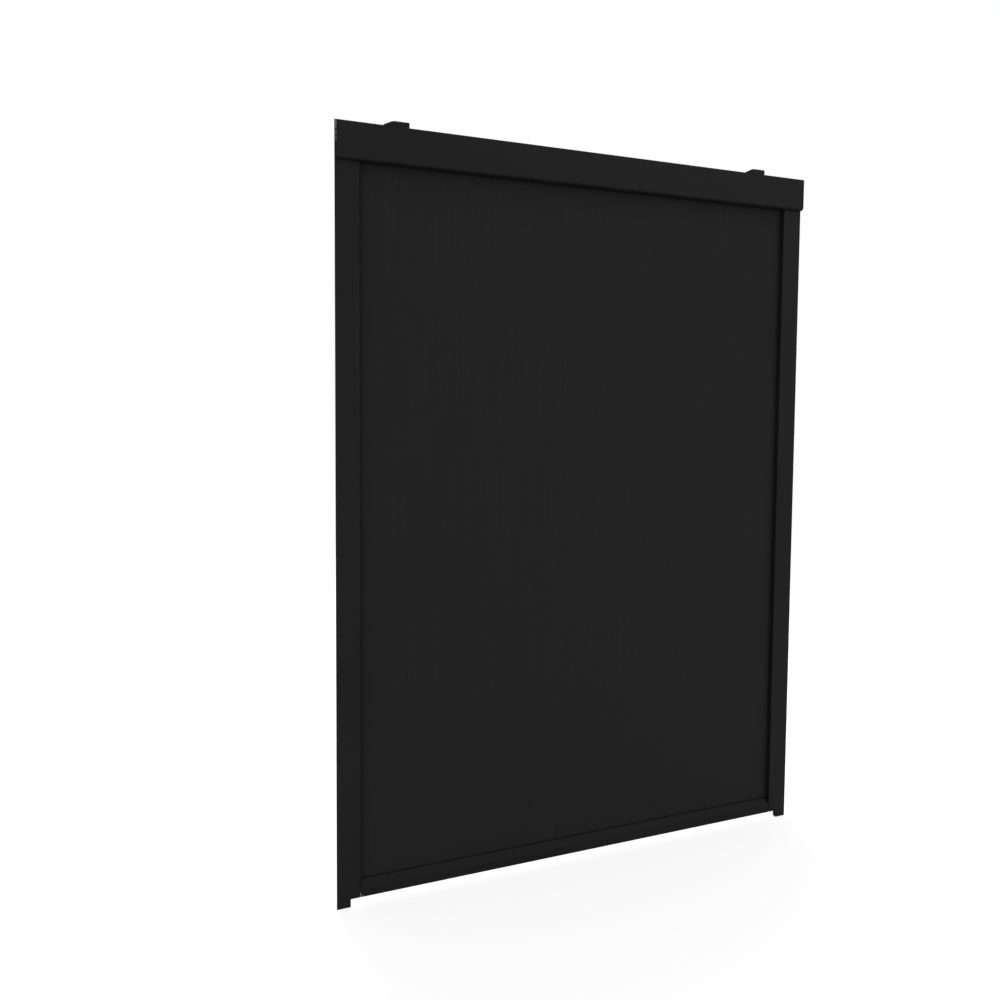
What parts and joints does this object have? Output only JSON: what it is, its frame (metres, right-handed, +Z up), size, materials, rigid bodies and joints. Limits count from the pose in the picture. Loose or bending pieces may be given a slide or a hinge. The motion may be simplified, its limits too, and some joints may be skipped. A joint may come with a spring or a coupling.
{
  "type": "roll-down screen",
  "caption": "Tall roll-down fabric screen: square headbox, side channels with feet, weighted hem bar and two top fixing clips, in matt black.",
  "frame": {"origin": "on the sill under the middle of the headbox's width and depth", "axes": "+Z up, +Y from the front of the screen to the back, +X to the right seen from the front"},
  "size_m": [1.146, 0.076, 1.672],
  "materials": {
    "powder_coat": "matt black fine-textured powder coat",
    "black_plastic": "matt black moulded plastic",
    "screen_fabric": "matt black close-woven coated screen fabric",
    "brush_pile": "black brush pile",
    "black_steel": "black coated steel",
    "mill_aluminium": "mill finish",
    "zinc_steel": "zinc plated",
    "seal_rubber": "matt black extruded rubber"
  },
  "bodies": {
    "frame": {"headbox_front_cover": "powder_coat", "headbox_back_rail": "powder_coat", "end_cap_left": "black_plastic", "end_cap_screw_left_1": "black_steel", "end_cap_screw_left_2": "black_steel", "end_cap_screw_left_3": "black_steel", "end_cap_right": "black_plastic", "end_cap_screw_right_1": "black_steel", "end_cap_screw_right_2": "black_steel", "end_cap_screw_right_3": "black_steel", "roller_spring_shaft": "zinc_steel", "roller_spring_anchor": "black_plastic", "roller_idler_pin": "zinc_steel", "fabric_panel": "screen_fabric", "channel_left_base": "powder_coat", "channel_left_cover": "powder_coat", "channel_left_brush_front": "brush_pile", "channel_left_brush_back": "brush_pile", "channel_left_foot": "black_plastic", "channel_right_base": "powder_coat", "channel_right_cover": "powder_coat", "channel_right_brush_front": "brush_pile", "channel_right_brush_back": "brush_pile", "channel_right_foot": "black_plastic", "clip_left_plate": "black_steel", "clip_left_rivet": "black_steel", "clip_right_plate": "black_steel", "clip_right_rivet": "black_steel"},
    "roller": {"roller_tube": "mill_aluminium", "roller_spring_plug": "black_plastic", "roller_idler_plug": "black_plastic", "roller_spring": "zinc_steel", "fabric_wound": "screen_fabric", "fabric_lock_strip": "black_plastic"},
    "hem_bar": {"hem_bar": "powder_coat", "hem_bar_end_left": "black_plastic", "hem_bar_end_right": "black_plastic", "hem_bar_ballast": "zinc_steel", "hem_bar_seal": "seal_rubber", "hem_fabric_rod": "black_plastic"},
    "clip_left_lever": {"clip_left_lever": "black_plastic"},
    "clip_right_lever": {"clip_right_lever": "black_plastic"}
  },
  "joints": [
    {"name": "screen_slide", "type": "slide", "parent": "frame", "child": "hem_bar", "axis": [0, 0, 1], "range_m": [0, 1.52], "deforming": ["fabric_panel"]},
    {"name": "roller_spin", "type": "hinge", "parent": "frame", "child": "roller", "pos_m": [0, 0.0066, 1.618], "axis": [1, 0, 0], "range_deg": [-3842, 0]},
    {"name": "clip_left_turn", "type": "hinge", "parent": "frame", "child": "clip_left_lever", "pos_m": [-0.4385, -0.025, 1.66], "axis": [0, 0, 1], "range_deg": [-85, 0]},
    {"name": "clip_right_turn", "type": "hinge", "parent": "frame", "child": "clip_right_lever", "pos_m": [0.4385, -0.025, 1.66], "axis": [0, 0, 1], "range_deg": [-85, 0]}
  ],
  "couplings": [
    {"joint": "roller_spin", "follows": "screen_slide", "rad_per_m": -44.1}
  ]
}
